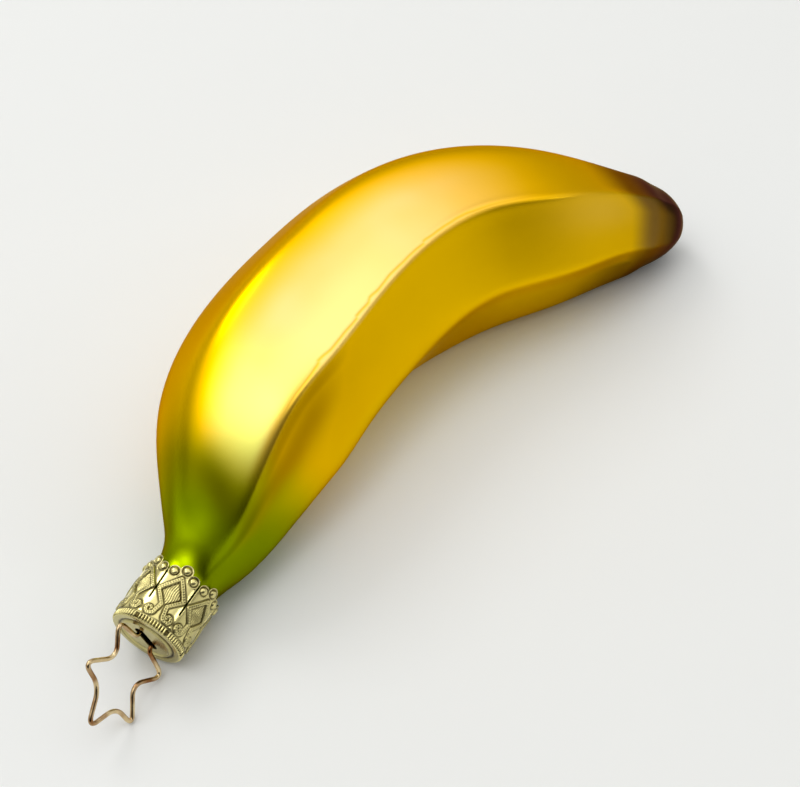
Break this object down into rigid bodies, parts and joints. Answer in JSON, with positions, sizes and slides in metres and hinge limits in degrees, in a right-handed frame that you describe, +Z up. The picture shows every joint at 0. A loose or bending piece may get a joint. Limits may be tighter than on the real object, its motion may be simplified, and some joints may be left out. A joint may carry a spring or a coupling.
{
  "type": "banana-shaped glass christmas ornament",
  "caption": "Hollow blown-glass ornament shaped like a ripe banana, with a stamped crown cap on its neck and a wire hanger bent into a star, for hanging on a tree.",
  "frame": {"origin": "under the middle of the bounding box, on the surface that the ornament lies on", "axes": "+X from the hanger towards the brown tip, +Y towards the outer side of the bend, +Z up, with the ornament lying on its side"},
  "size_m": [0.1572, 0.052, 0.0363],
  "materials": {
    "lacquered_glass": "silvered inside, satin translucent lacquer outside: golden yellow, lime green at the neck and brown-black at the tip",
    "stamped_cap": "bright pale gold stamped sheet metal with darker recesses",
    "hanger_wire": "bright copper-gold drawn wire"
  },
  "bodies": {
    "root": {"glass_body": "lacquered_glass", "cap": "stamped_cap", "hanger_wire": "hanger_wire"}
  },
  "joints": []
}
